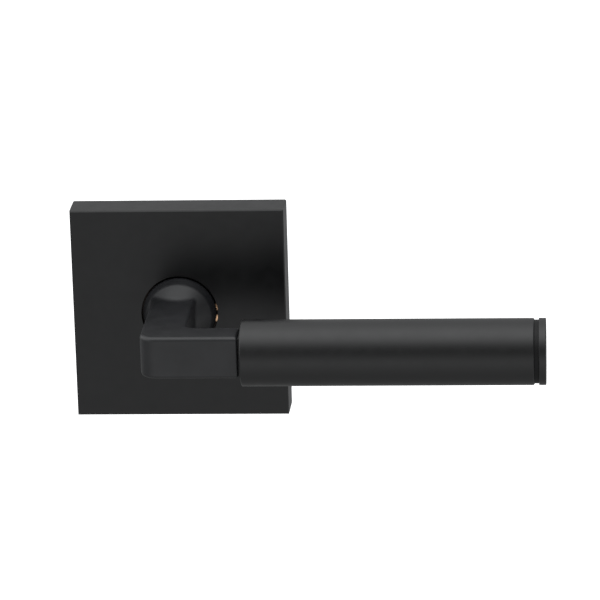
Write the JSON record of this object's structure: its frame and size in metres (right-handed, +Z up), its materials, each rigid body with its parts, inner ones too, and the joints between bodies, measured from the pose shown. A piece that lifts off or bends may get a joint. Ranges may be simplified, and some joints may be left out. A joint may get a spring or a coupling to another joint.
{
  "type": "door lever handle",
  "caption": "Door lever handle: round grip on a square bar and round neck, turning in a thin square rose with its return spring, cam, bush, spindle and fixing screws.",
  "frame": {"origin": "spindle axis in the plane of the door's face, midway between the two fixing screws", "axes": "+Z up, +Y into the door along the spindle, +X towards the grip's free end"},
  "size_m": [0.148, 0.1077, 0.067],
  "materials": {
    "black_finish": "satin black powder coat or electroplate over zinc and brass",
    "zinc_steel": "bright zinc-plated steel",
    "spring_steel": "dark oiled spring steel",
    "brass": "turned bearing brass",
    "packing": "black nylon packing"
  },
  "bodies": {
    "rose": {"rose_cover": "black_finish", "mounting_plate": "zinc_steel", "spring_housing": "black_finish", "housing_rivets": "zinc_steel", "bearing_bush": "brass", "return_spring": "spring_steel", "stop_pin": "spring_steel", "cover_clips": "spring_steel", "clip_rivets": "zinc_steel", "fixing_screws": "zinc_steel", "lock_washers": "spring_steel"},
    "lever": {"lever_arm": "black_finish", "drive_cam": "zinc_steel", "shim_washer": "spring_steel", "circlip": "spring_steel", "spindle": "zinc_steel", "clamp_screw": "zinc_steel", "grip_gasket": "packing", "grip_plug": "black_finish", "grip_tube": "black_finish", "tie_rod": "zinc_steel", "groove_ring": "black_finish", "end_cap": "black_finish"}
  },
  "joints": [
    {"name": "lever_turn", "type": "hinge", "parent": "rose", "child": "lever", "pos_m": [0, 0, 0], "axis": [0, 1, 0], "range_deg": [0, 45], "stiffness_Nm_per_rad": 1, "springref_deg": -34.38, "deforming": ["return_spring"]}
  ]
}
